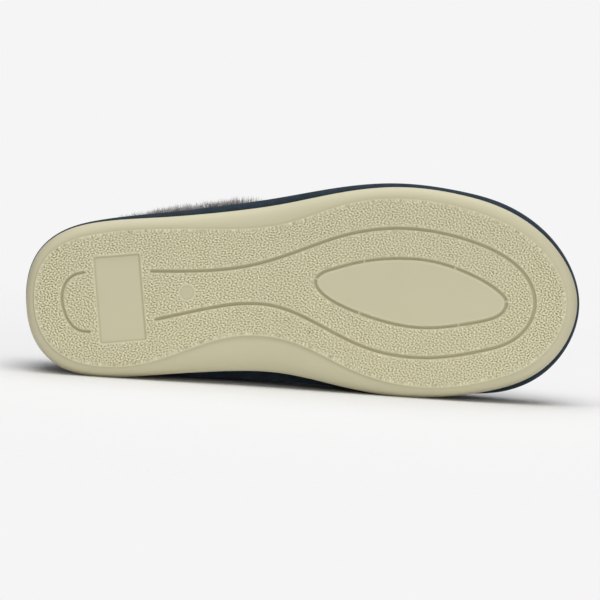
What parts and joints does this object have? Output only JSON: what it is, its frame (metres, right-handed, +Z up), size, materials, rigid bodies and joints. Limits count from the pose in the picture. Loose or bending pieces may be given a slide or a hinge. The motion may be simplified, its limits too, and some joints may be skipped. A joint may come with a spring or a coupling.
{
  "type": "closed-back slipper",
  "caption": "Right closed-back slipper lying on its side: moulded rubber sole with a grooved, pebbled tread, hollow navy felt upper, faux fur collar and a foam footbed.",
  "frame": {"origin": "centre of the slipper's box, on the floor that it lies on", "axes": "+X towards the toe, +Y from the tread towards the collar, +Z up, with the lateral side of the foot on top"},
  "size_m": [0.288, 0.1028, 0.1091],
  "materials": {
    "sole_rubber": "moulded, matt, pebbled tread and smooth rim",
    "upper_felt": "brushed navy felt with a short nap",
    "collar_fur": "grey-brown faux fur with dark roots",
    "footbed_fleece": "short fleece over foam"
  },
  "bodies": {
    "root": {"outsole": "sole_rubber", "upper": "upper_felt", "collar_fur": "collar_fur", "insole": "footbed_fleece"}
  },
  "joints": []
}
